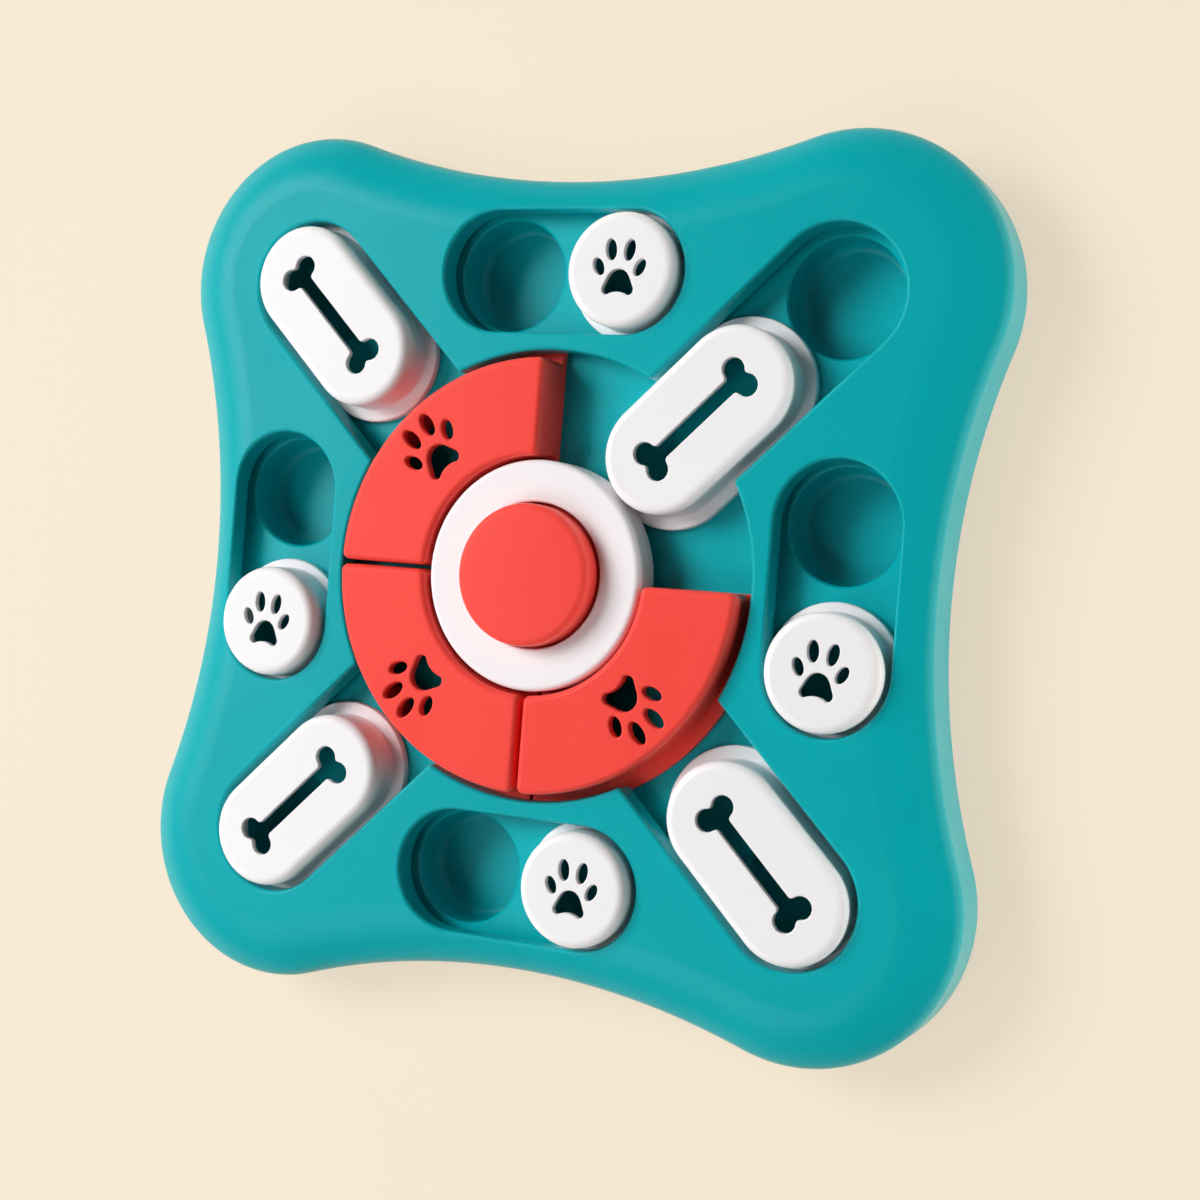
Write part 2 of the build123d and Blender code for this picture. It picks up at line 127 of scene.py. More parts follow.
@dataclass(frozen=True)
class Arc:
    """One arc of a closed plan curve, walked with the enclosed area on its left.

    An arc whose angle grows bulges outward, and one whose angle falls is hollow.
    """

    x: float
    y: float
    radius: float
    start: float
    end: float

    def turned(self, angle: float) -> "Arc":
        """Turn the arc about the origin.

        Args:
            angle: How far, counterclockwise.

        Returns:
            The turned arc.
        """
        cosine, sine = ray(angle)
        x, y = self.x * cosine - self.y * sine, self.x * sine + self.y * cosine
        return Arc(x, y, self.radius, self.start + angle, self.end + angle)

    def walk(self) -> tuple[np.ndarray, np.ndarray]:
        """Sample the arc, both ends included.

        Returns:
            The points and their outward normals.
        """
        sweep = math.radians(self.end - self.start)
        count = max(LEAST_STEPS, math.ceil(abs(sweep) * self.radius / ARC_STEP))
        angles = math.radians(self.start) + sweep * np.linspace(0.0, 1.0, count + 1)
        rays = np.column_stack((np.cos(angles), np.sin(angles)))
        return np.array((self.x, self.y)) + self.radius * rays, math.copysign(1.0, sweep) * rays


@dataclass(frozen=True)
class PlanCurve:
    """Closed curve in plan: points in walking order, each with its outward unit normal."""

    points: np.ndarray
    normals: np.ndarray

    @classmethod
    def from_arcs(cls, arcs: Sequence[Arc]) -> "PlanCurve":
        """Join arcs into a closed curve, with straight lines between those that don't touch.

        Args:
            arcs: The arcs in walking order.

        Returns:
            The curve, with each junction once.
        """
        walks = [arc.walk() for arc in arcs]
        points = np.vstack([walk[0] for walk in walks])
        normals = np.vstack([walk[1] for walk in walks])
        fresh = np.linalg.norm(points - np.roll(points, 1, axis=0), axis=1) > JUNCTION
        return cls(points[fresh], normals[fresh])

    @classmethod
    def stadium(cls, straight: float, half_width: float) -> "PlanCurve":
        """A slot along X with round ends, by the length between its ends' middles."""
        right = Arc(straight / 2.0, 0.0, half_width, -90.0, 90.0)
        return cls.from_arcs([right, Arc(-right.x, 0.0, half_width, 90.0, 270.0)])

    @classmethod
    def spokes(cls, count: int) -> "PlanCurve":
        """A circle of no radius, so that how far it grows is the radius of a turned form."""
        angles = np.linspace(0.0, 2.0 * math.pi, count, endpoint=False)
        return cls(np.zeros((count, 2)), np.column_stack((np.cos(angles), np.sin(angles))))

    @classmethod
    def ellipse(cls, half_x: float, half_y: float) -> "PlanCurve":
        """An ellipse round the origin.

        Args:
            half_x: Half-axis along X.
            half_y: Half-axis along Y.

        Returns:
            The curve.
        """
        rays = cls.spokes(ELLIPSE_STEPS).normals
        normals = rays * (half_y, half_x)
        lengths = np.linalg.norm(normals, axis=1, keepdims=True)
        return cls(rays * (half_x, half_y), normals / lengths)

    def grown(self, distance: float) -> np.ndarray:
        """The curve's points moved outward by a distance."""
        return self.points + distance * self.normals

    def placed(self, x: float, y: float, turn: float = 0.0, size: float = 1.0) -> "PlanCurve":
        """Size and turn the curve about the origin, then move it.

        Args:
            x: Move along X.
            y: Move along Y.
            turn: Degrees, counterclockwise.
            size: Factor on its lengths.

        Returns:
            The placed curve.
        """
        cosine, sine = ray(turn)
        spin = np.array(((cosine, sine), (-sine, cosine)))
        return PlanCurve(size * self.points @ spin + np.array((x, y)), self.normals @ spin)


def encloses(loop: np.ndarray, spots: np.ndarray) -> np.ndarray:
    """Find which spots lie inside a closed loop.

    Args:
        loop: Corners of the loop.
        spots: Points to test.

    Returns:
        One truth value per spot.
    """
    start, end = loop, np.roll(loop, -1, axis=0)
    across = (start[:, 1] > spots[:, 1:2]) != (end[:, 1] > spots[:, 1:2])
    rise = np.where(end[:, 1] == start[:, 1], 1.0, end[:, 1] - start[:, 1])
    crossing = start[:, 0] + (spots[:, 1:2] - start[:, 1]) * (end[:, 0] - start[:, 0]) / rise
    return (across & (spots[:, 0:1] < crossing)).sum(axis=1) % 2 == 1


@dataclass(frozen=True)
class Station:
    """One ring of a profile: growth from the plan curve, height, and tilt of its normal."""

    grow: float
    height: float
    tilt: float


def bend(
    grow: float,
    height: float,
    radius: float,
    start: float,
    end: float,
    hollow: bool = False,
    steps: int = ROUND_STEPS,
) -> list[Station]:
    """Stations round an arc of a profile.

    Args:
        grow: Growth of the arc's middle.
        height: Height of the arc's middle.
        radius: Radius of the arc.
        start: Tilt of the normal at the first station.
        end: Tilt of the normal at the last station.
        hollow: True for an inside corner, whose normals point to the arc's middle.
        steps: Number of chords.

    Returns:
        The stations in order.
    """
    side = -radius if hollow else radius
    stations = []
    for tilt in np.linspace(start, end, steps + 1).tolist():
        out, up = ray(tilt, side)
        stations.append(Station(grow + out, height + up, tilt))
    return stations


Relief = Callable[[np.ndarray], tuple[np.ndarray, np.ndarray]]  # heights and normals over the plan


@dataclass(frozen=True)
class Level:
    """Flat surface at one height, facing up or down."""

    height: float
    up: bool = True

    def __call__(self, spots: np.ndarray) -> tuple[np.ndarray, np.ndarray]:
        """Return the height and the unit normal at each spot."""
        facing = (0.0, 0.0, 1.0 if self.up else -1.0)
        return np.full(len(spots), self.height), np.tile(facing, (len(spots), 1))


class Skin:
    """Closed surface under construction: faces whose corners carry their own normals."""

    def __init__(self) -> None:
        """Start with no faces."""
        self._corners: list[np.ndarray] = []
        self._normals: list[np.ndarray] = []

    def _take(self, corners: np.ndarray, normals: np.ndarray) -> None:
        """Add faces, each turned so that it faces along its normals.

        Args:
            corners: Corners of the faces, by face and place in the face.
            normals: Normals in the same order.
        """
        facing = np.cross(corners[:, 2] - corners[:, 0], corners[:, -1] - corners[:, 1])
        back = np.einsum("ij,ij->i", facing, normals.mean(axis=1)) < 0.0
        corners[back], normals[back] = corners[back][:, ::-1], normals[back][:, ::-1]
        self._corners.append(corners)
        self._normals.append(normals)

    def band(self, rings: np.ndarray, facings: np.ndarray) -> None:
        """Join closed rings of points with quads.

        Args:
            rings: Points, by ring and place in the ring.
            facings: Normals in the same order.
        """
        quads = []
        for values in (rings, facings):
            low, high = values[:-1], values[1:]
            around = (low, np.roll(low, -1, axis=1), np.roll(high, -1, axis=1), high)
            quads.append(np.stack(around, axis=2).reshape(-1, 4, 3))
        self._take(*quads)

    def rim(self, curve: PlanCurve, stations: Sequence[Station]) -> None:
        """Run a smooth profile round a plan curve.

        Args:
            curve: The plan curve.
            stations: The profile, one ring per station.
        """
        rings, facings = [], []
        for station in stations:
            (out, up), column = ray(station.tilt), np.ones(len(curve.points))
            rings.append(np.column_stack((curve.grown(station.grow), station.height * column)))
            facings.append(np.column_stack((out * curve.normals, up * column)))
        self.band(np.array(rings), np.array(facings))

    def steps(self, curve: PlanCurve, corners: Sequence[tuple[float, float]]) -> None:
        """Run plain faces with sharp corners round a plan curve.

        Args:
            curve: The plan curve.
            corners: Growth and height of each corner, walked with the solid on the left.
        """
        for (grow, height), (next_grow, next_height) in zip(corners, corners[1:]):
            tilt = bearing(next_height - height, grow - next_grow)
            self.rim(curve, [Station(grow, height, tilt), Station(next_grow, next_height, tilt)])

    def sheet(
        self,
        outer: np.ndarray,
        holes: Sequence[np.ndarray],
        relief: Relief,
        spots: np.ndarray | None = None,
    ) -> None:
        """Fill the area between an outer loop and holes.

        Args:
            outer: Corners of the outer loop.
            holes: Corners of each hole.
            relief: Heights and normals of the surface.
            spots: More points inside the area, where the surface curves.
        """
        loops = [outer, *holes]
        points = np.vstack(loops if spots is None else [*loops, spots])
        edges, first = [], 0
        for loop in loops:
            edges += [(first + k, first + (k + 1) % len(loop)) for k in range(len(loop))]
            first += len(loop)
        found = delaunay_2d_cdt([Vector(point) for point in points], edges, [], 1, JUNCTION)
        plan = np.array([points[source[0]] for source in found[3]])
        triangles = np.array(found[2])
        middles = plan[triangles].mean(axis=1)
        inside = encloses(outer, middles)
        for hole in holes:
            inside &= ~encloses(hole, middles)
        heights, facings = relief(plan)
        solid = np.column_stack((plan, heights))
        self._take(solid[triangles[inside]], facings[triangles[inside]])

    def piece(self, name: str) -> bpy.types.Object:
        """Weld the faces into a smooth mesh that keeps the corners' normals.

        Args:
            name: Name of the piece.

        Returns:
            The new object, in metres.
        """
        points = np.vstack([corners.reshape(-1, 3) for corners in self._corners])
        _, first, joined = np.unique(
            np.round(points, WELD_DIGITS), axis=0, return_index=True, return_inverse=True
        )
        faces, facings, cursor = [], [], 0
        for corners, normals in zip(self._corners, self._normals):
            count, sides, _ = corners.shape
            rows = joined[cursor:cursor + count * sides].reshape(count, sides).tolist()
            cursor += count * sides
            for row, facing in zip(rows, normals.tolist()):
                kept = [k for k in range(sides) if row[k] != row[k - 1]]
                if len(kept) > 2:
                    faces.append([row[k] for k in kept])
                    facings += [facing[k] for k in kept]
        mesh = bpy.data.meshes.new(name)
        mesh.from_pydata((points[first] * MM).tolist(), [], faces)
        mesh.polygons.foreach_set("use_smooth", [True] * len(faces))
        mesh.normals_split_custom_set(facings)
        made = bpy.data.objects.new(name, mesh)
        bpy.context.scene.collection.objects.link(made)
        LOG.info("%s: %d vertices, %d faces", name, len(mesh.vertices), len(faces))
        return made


# Shader graphs and finishes


Number = Union[float, "Value"]
Colour = tuple[float, float, float]


def linear(colour: Colour) -> tuple[float, float, float, float]:
    """Turn a display colour from 0 to 255 into a linear one with alpha 1, by the sRGB curve."""
    shares = [channel / 255.0 for channel in colour]
    return (*(s / 12.92 if s <= 0.04045 else ((s + 0.055) / 1.055) ** 2.4 for s in shares), 1.0)


class Value:
    """An output socket, with operators that add Math nodes."""

    def __init__(self, graph: "ShaderGraph", socket: bpy.types.NodeSocket) -> None:
        """Wrap a socket of a graph."""
        self.graph = graph
        self.socket = socket

    def _math(self, operation: str, first: Number, second: Number) -> "Value":
        """Add one Math node and return its result."""
        return self.graph.add("ShaderNodeMath", {"operation": operation}, {0: first, 1: second})

    def __add__(self, other: Number) -> "Value":
        """Sum of this value and another."""
        return self._math("ADD", self, other)

    __radd__ = __add__

    def __mul__(self, other: Number) -> "Value":
        """Product of this value and another."""
        return self._math("MULTIPLY", self, other)

    __rmul__ = __mul__

    def __sub__(self, other: Number) -> "Value":
        """This value less another."""
        return self._math("SUBTRACT", self, other)

    def __rsub__(self, other: Number) -> "Value":
        """Another value less this one."""
        return self._math("SUBTRACT", other, self)

    def band(self, low: float, high: float) -> "Value":
        """Stretch a range of this value smoothly to 0 to 1, held at both ends."""
        settings = {"clamp": True, "interpolation_type": "SMOOTHSTEP"}
        return self.graph.add("ShaderNodeMapRange", settings, {0: self, 1: low, 2: high})


class ShaderGraph:
    """Node tree of one material or world."""

    def __init__(self, tree: bpy.types.NodeTree) -> None:
        """Take a tree and empty it."""
        self.tree = tree
        tree.nodes.clear()

    def add(
        self,
        kind: str,
        settings: Mapping[str, Any] | None = None,
        sockets: Mapping[int | str, Any] | None = None,
        output: int | str = 0,
    ) -> Value:
        """Add one node.

        Args:
            kind: Type of the node.
            settings: Properties of the node, set first.
            sockets: Values or links of its inputs, by name or number.
            output: The output to return.

        Returns:
            The chosen output, or the first input of a node without outputs.
        """
        node = self.tree.nodes.new(kind)
        for name, value in (settings or {}).items():
            setattr(node, name, value)
        for key, value in (sockets or {}).items():
            if isinstance(value, Value):
                self.tree.links.new(value.socket, node.inputs[key])
            else:
                node.inputs[key].default_value = value
        return Value(self, node.outputs[output] if len(node.outputs) else node.inputs[0])

    def mix(self, share: Number, first: Any, second: Any) -> Value:
        """Mix two colours by a share of the second."""
        sockets = {0: share, 6: first, 7: second}
        return self.add("ShaderNodeMix", {"data_type": "RGBA"}, sockets, output=2)

    def noise(self, place: Value, scale: float, detail: float, roughness: float = 0.5) -> Value:
        """Noise from 0 to 1 over a place in metres."""
        sockets = {"Vector": place, "Scale": scale, "Detail": detail, "Roughness": roughness}
        return self.add("ShaderNodeTexNoise", {"noise_dimensions": "3D"}, sockets)

    def bump(self, depth: float, height: Value) -> Value:
        """Normal of a grain, by its depth from 0 to 1."""
        sockets = {"Strength": depth, "Distance": GRAIN_HEIGHT, "Height": height}
        return self.add("ShaderNodeBump", sockets=sockets)

    def place(self) -> Value:
        """The place on the piece, in metres, which moves with the piece."""
        return self.add("ShaderNodeTexCoord", output="Object")

    def finish(self, shader: Value) -> None:
        """Send a shader to the output of the material."""
        self.add("ShaderNodeOutputMaterial", sockets={"Surface": shader})


@dataclass(frozen=True)
class Mottle:
    """Noise that is stretched to patches from 0 to 1."""

    scale: float  # patches per metre
    detail: float
    low: float  # noise that becomes 0, and noise that becomes 1
    high: float
    roughness: float = 0.5

    def over(self, graph: ShaderGraph, place: Value) -> Value:
        """Add the patches to a graph, over a place in metres."""
        noise = graph.noise(place, self.scale, self.detail, self.roughness)
        return noise.band(self.low, self.high)


@dataclass(frozen=True)
class Finish(ABC):
    """Look of one material slot, with two display colours that mix in patches."""

    name: str
    colour: Colour
    patch_colour: Colour

    def material(self) -> bpy.types.Material:
        """Build the material once and return it after that."""
        known = bpy.data.materials.get(self.name)
        if known is not None:
            return known
        made = bpy.data.materials.new(self.name)
        made.use_nodes = True
        graph = ShaderGraph(made.node_tree)
        inputs = self.inputs(graph, graph.place())
        graph.finish(graph.add("ShaderNodeBsdfPrincipled", sockets=inputs))
        return made

    def tint(self, graph: ShaderGraph, share: Value) -> Value:
        """Mix the two colours by a share of the second."""
        return graph.mix(share, linear(self.colour), linear(self.patch_colour))

    @abstractmethod
    def inputs(self, graph: ShaderGraph, place: Value) -> dict[str, Any]:
        """Values and links of the shader's sockets, over a place in metres."""


@dataclass(frozen=True)
class MouldedPlastic(Finish):
    """Satin injection-moulded plastic with a fine spark-eroded grain and faint handling marks."""

    roughness: float
    grain_depth: float
    gloss: float = 0.36  # specular level
    grain: float = 1500.0  # grains per metre
    coarse_grain: float = 420.0
    coarse_share: float = 0.3
    clouds: Mottle = Mottle(22.0, 3.0, 0.35, 0.75)
    flecks: Mottle = Mottle(900.0, 2.0, 0.45, 0.75)
    handling: Mottle = Mottle(55.0, 4.0, 0.42, 0.72, 0.6)
    cloud_share: float = 0.55
    fleck_share: float = 0.18
    cloud_polish: float = 0.05  # roughness lost in the clouds
    handled_wear: float = 0.07  # roughness gained where it is handled

    def inputs(self, graph: ShaderGraph, place: Value) -> dict[str, Any]:
        """Clouded colour, handled roughness and a grain of two sizes.

        Args:
            graph: Graph of the material.
            place: Place on the piece, in metres.

        Returns:
            Values and links of the shader's sockets, by name.
        """
        patterns = (self.clouds, self.flecks, self.handling)
        clouds, flecks, handled = (pattern.over(graph, place) for pattern in patterns)
        fine = graph.noise(place, self.grain, detail=2.0)
        coarse = graph.noise(place, self.coarse_grain, detail=1.0)
        relief = fine * (1.0 - self.coarse_share) + coarse * self.coarse_share
        return {
            "Base Color": self.tint(graph, clouds * self.cloud_share + flecks * self.fleck_share),
            "Roughness": self.roughness + self.handled_wear * handled - self.cloud_polish * clouds,
            "Normal": graph.bump(self.grain_depth, relief),
            "Specular IOR Level": self.gloss,
        }


@dataclass(frozen=True)
class MatteRubber(Finish):
    """Dull moulded rubber with a pale bloom in patches."""

    roughness: float = 0.72
    bloom: Mottle = Mottle(120.0, 4.0, 0.4, 0.8, 0.65)
    bloom_wear: float = 0.15  # roughness gained in the bloom
    grain: float = 1800.0  # grains per metre
    grain_depth: float = 0.15

    def inputs(self, graph: ShaderGraph, place: Value) -> dict[str, Any]:
        """Bloomed colour and roughness, and a fine grain.

        Args:
            graph: Graph of the material.
            place: Place on the piece, in metres.

        Returns:
            Values and links of the shader's sockets, by name.
        """
        bloom = self.bloom.over(graph, place)
        return {
            "Base Color": self.tint(graph, bloom),
            "Roughness": self.roughness + self.bloom_wear * bloom,
            "Normal": graph.bump(self.grain_depth, graph.noise(place, self.grain, detail=3.0)),
        }


@dataclass(frozen=True)
class PlatedSteel(Finish):
    """Bright zinc-plated steel with turning marks."""

    roughness: float = 0.28
    marks: Mottle = Mottle(900.0, 3.0, 0.35, 0.7)
    mark_wear: float = 0.16  # roughness gained in the marks

    def inputs(self, graph: ShaderGraph, place: Value) -> dict[str, Any]:
        """Marked colour and roughness of a metal.

        Args:
            graph: Graph of the material.
            place: Place on the piece, in metres.

        Returns:
            Values and links of the shader's sockets, by name.
        """
        marks = self.marks.over(graph, place)
        rough = self.roughness + self.mark_wear * marks
        return {"Base Color": self.tint(graph, marks), "Metallic": 1.0, "Roughness": rough}


FINISHES: dict[Slot, Finish] = {
    Slot.TEAL: MouldedPlastic("teal_satin", (0, 169, 177), (2, 174, 182), 0.31, 0.25),
    Slot.WHITE: MouldedPlastic("white_satin", (250, 248, 250), (245, 244, 246), 0.34, 0.05),
    Slot.RED: MouldedPlastic("red_satin", (254, 80, 70), (251, 73, 64), 0.34, 0.08),
    Slot.RUBBER: MatteRubber("feet_rubber", (34, 35, 36), (58, 59, 60)),
    Slot.STEEL: PlatedSteel("screw_zinc", (200, 202, 205), (150, 152, 156)),
}


def settle(skin: Skin, name: str, node: str, body: str, slot: Slot) -> bpy.types.Object:
    """Make a piece from a skin, give it its finish and tie it to the frame.

    Args:
        skin: The finished skin.
        name: Name of the piece.
        node: The frame's node that it stands for.
        body: The frame's body that it rides on.
        slot: Its material slot.

    Returns:
        The piece.
    """
    piece = skin.piece(name)
    piece.data.materials.append(FINISHES[slot].material())
    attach(piece, body)
    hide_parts(node)
    return piece


# The board's shared plan


@dataclass(frozen=True)
class BoardPlan:
    """Sizes that the shells, the sliders and the sectors share, in millimetres."""

    hem: float = 1.5  # foot of the skirt
    top: float = 27.5  # board's face
    track: float = 17.5  # floor of the tracks
    lip_foot: float = 20.4  # underside of the lips over the tracks
    ring_mouth: float = 63.0
    ring_groove: float = 64.6
    corner_cap: float = 113.5  # middle of a corner slot's outer end, at its mouth
    corner_groove_cap: float = 114.7
    corner_mouth: float = 18.6  # half-widths of the corner slots
    corner_groove: float = 20.0
    side_offset: float = 85.1  # middle of a side slot from the board's middle
    side_travel: float = 38.8
    side_mouth: float = 17.3  # half-widths of the side slots
    side_groove: float = 19.1
    lobe_middle: float = 116.1
    lobe_radius: float = 43.0
    waist: float = 111.5  # board's middle to its edge at the waist
    flange: float = 2.5  # thickness of the sliders' and sectors' flanges

    @property
    def lobe_reach(self) -> float:
        """X and Y of the middle of a lobe."""
        return self.lobe_middle / math.sqrt(2.0)

    @property
    def waist_radius(self) -> float:
        """Radius of the hollow arc that joins two lobes."""
        inward = self.waist - self.lobe_reach
        spare = inward**2 + self.lobe_reach**2 - self.lobe_radius**2
        return spare / (2.0 * (self.lobe_radius - inward))

    @property
    def waist_middle(self) -> float:
        """Distance of that arc's middle from the board's middle."""
        return self.waist + self.waist_radius

    @property
    def lobe_edge(self) -> float:
        """Direction, from a lobe's middle, in which its arc meets the waist on its right."""
        return bearing(self.waist_middle - self.lobe_reach, -self.lobe_reach)

    def outline(self) -> PlanCurve:
        """The board's outline: four lobes joined by hollow waists."""
        reach, edge = self.lobe_reach, self.lobe_edge
        lobe = Arc(reach, reach, self.lobe_radius, edge, 90.0 - edge)
        waist = Arc(0.0, self.waist_middle, self.waist_radius, -90.0 - edge, -90.0 + edge)
        arcs = [arc.turned(side.value) for side in Side for arc in (lobe, waist)]
        return PlanCurve.from_arcs(arcs)

    def tracks(
        self, ring: float, cap: float, corner: float, tip: float, side: float
    ) -> list[PlanCurve]:
        """Plans of the tracks at one level.

        Args:
            ring: Radius of the ring.
            cap: Middle of the corner slots' outer ends.
            corner: Half-width of the corner slots.
            tip: Round on the points between ring and corner slots.
            side: Half-width of the side slots.

        Returns:
            The ring joined with the corner slots that open into it, then the side slots.
        """
        across = corner + tip
        along = math.sqrt((ring + tip) ** 2 - across**2)
        lean = bearing(along, across)
        quarter = [
            Arc(along, -across, tip, 180.0 - lean, 90.0),
            Arc(cap, 0.0, corner, -90.0, 90.0),
            Arc(along, across, tip, 270.0, 180.0 + lean),
            Arc(0.0, 0.0, ring, lean, 90.0 - lean),
        ]
        joined = [arc.turned(way.value) for way in Corner for arc in quarter]
        slot = PlanCurve.stadium(self.side_travel, side)
        return [PlanCurve.from_arcs(joined)] + [
            slot.placed(*ray(way.value, self.side_offset), way.value + 90.0) for way in Side
        ]


@dataclass(frozen=True)
class RimRelief:
    """The cover's face, which falls in a wide dome to a tighter shoulder along the board's edge."""

    plan: BoardPlan
    dome: float = 26.0  # radius of the dome
    shoulder: float = 5.0  # radius of the shoulder
    shoulder_steps: int = 10
    slope: float = 35.0  # fall at which the dome meets the shoulder, in degrees

    @property
    def dome_inset(self) -> float:
        """Distance from the board's edge to where the face starts to fall."""
        sine = math.sin(math.radians(self.slope))
        return self.shoulder * (1.0 - sine) + self.dome * sine

    def __call__(self, spots: np.ndarray) -> tuple[np.ndarray, np.ndarray]:
        """Work out the face over points in plan, by how far they lie inside the board's edge.

        Args:
            spots: The points.

        Returns:
            The height and the unit normal at each spot.
        """
        plan, dome = self.plan, self.dome
        sign = np.where(spots < 0.0, -1.0, 1.0)
        folded = np.abs(spots)
        steep = folded[:, 1] > folded[:, 0]
        folded[steep] = folded[steep][:, ::-1]
        from_lobe = folded - plan.lobe_reach
        to_waist = np.array((plan.waist_middle, 0.0)) - folded
        lean = np.degrees(np.arctan2(from_lobe[:, 1], from_lobe[:, 0]))
        lobe = (lean > plan.lobe_edge) & (lean < 90.0)
        lobe_far, waist_far = (np.linalg.norm(way, axis=1) for way in (from_lobe, to_waist))
        depth = np.where(lobe, plan.lobe_radius - lobe_far, waist_far - plan.waist_radius)
        lobe_way = from_lobe / np.maximum(lobe_far, JUNCTION)[:, None]
        outward = np.where(lobe[:, None], lobe_way, to_waist / waist_far[:, None])
        outward[steep] = outward[steep][:, ::-1]
        over = np.clip(self.dome_inset - depth, 0.0, dome)
        rise = np.sqrt(dome**2 - over**2)
        normals = np.column_stack((outward * sign * (over / dome)[:, None], rise / dome))
        return plan.top - dome + rise, normals

    def edge(self, inset: float) -> list[Station]:
        """Profile from the foot of the shoulder up to a place on the dome.

        Args:
            inset: Distance of that place from the board's edge.

        Returns:
            The stations, from low to high.
        """
        dome, shoulder, top, meet = self.dome, self.shoulder, self.plan.top, 90.0 - self.slope
        rise = math.cos(math.radians(self.slope))
        middle = top - dome * (1.0 - rise) - shoulder * rise
        last = math.degrees(math.acos((self.dome_inset - inset) / dome))
        low = bend(-shoulder, middle, shoulder, 0.0, meet, steps=self.shoulder_steps)
        return low + bend(-self.dome_inset, top - dome, dome, meet, last)[1:]


# Sub-assemblies


@dataclass
class CoverShell:
    """Moulded upper shell: skirt, rounded rim, and lipped mouths over the tracks."""

    plan: BoardPlan
    strip_inset: float = 6.5  # where the rim's even strips end
    contours: tuple[float, ...] = (7.4, 8.4, 9.5, 10.7, 12.0, 13.5, 15.2, 17.1)
    contour_margin: float = 0.7  # contour points to the mouths' lips
    lip_round: float = 1.1
    lip_steps: int = 6
    tip_round: float = 1.35
    groove_tip: float = 0.4
    skirt: float = 3.0
    hem_round: float = 2.5

    def build(self) -> None:
        """Build the shell and dress it."""
        plan, skin, relief = self.plan, Skin(), RimRelief(self.plan)
        outline = plan.outline()
        mouths = plan.tracks(
            plan.ring_mouth, plan.corner_cap, plan.corner_mouth, self.tip_round, plan.side_mouth
        )
        grooves = plan.tracks(
            plan.ring_groove,
            plan.corner_groove_cap,
            plan.corner_groove,
            self.groove_tip,
            plan.side_groove,
        )
        hem = bend(-self.hem_round, plan.hem + self.hem_round, self.hem_round, -90.0, 0.0)
        foot = Station(-self.skirt, plan.hem, -90.0)
        skin.rim(outline, [foot, *hem, *relief.edge(self.strip_inset)])
        spots = np.vstack([outline.grown(-inset) for inset in self.contours])
        for mouth in mouths:
            spots = spots[~encloses(mouth.grown(self.lip_round + self.contour_margin), spots)]
        lips = [mouth.grown(self.lip_round) for mouth in mouths]
        skin.sheet(outline.grown(-self.strip_inset), lips, relief, spots)
        for mouth, groove in zip(mouths, grooves):
            self._lip(skin, mouth, relief)
            skin.sheet(groove.points, [mouth.points], Level(plan.lip_foot, up=False))
            skin.steps(groove, [(0.0, plan.lip_foot), (0.0, plan.track)])
        holes = [groove.points for groove in grooves]
        skin.sheet(outline.grown(-self.skirt), holes, Level(plan.track, up=False))
        skin.steps(outline, [(-self.skirt, plan.track), (-self.skirt, plan.hem)])
        settle(skin, "cover_shell", "top_cover", "board", Slot.TEAL)

    def _lip(self, skin: Skin, mouth: PlanCurve, relief: RimRelief) -> None:
        """Round the lip of a mouth and stand its wall.

        Args:
            skin: The skin to add to.
            mouth: The mouth.
            relief: Surface of the face.
        """
        heights, facings = relief(mouth.grown(self.lip_round))
        flat = np.zeros(len(mouth.points))
        inward = np.column_stack((-mouth.normals, flat))
        rings, normals = [], []
        for angle in np.linspace(0.0, math.pi / 2.0, self.lip_steps + 1):
            grow = self.lip_round * (1.0 - math.sin(angle))
            drop = self.lip_round * (1.0 - math.cos(angle))
            rings.append(np.column_stack((mouth.grown(grow), heights - drop)))
            facing = math.cos(angle) * facings + math.sin(angle) * inward
            normals.append(facing / np.linalg.norm(facing, axis=1, keepdims=True))
        rings.append(np.column_stack((mouth.points, flat + self.plan.lip_foot)))
        skin.band(np.array(rings), np.array([*normals, inward]))


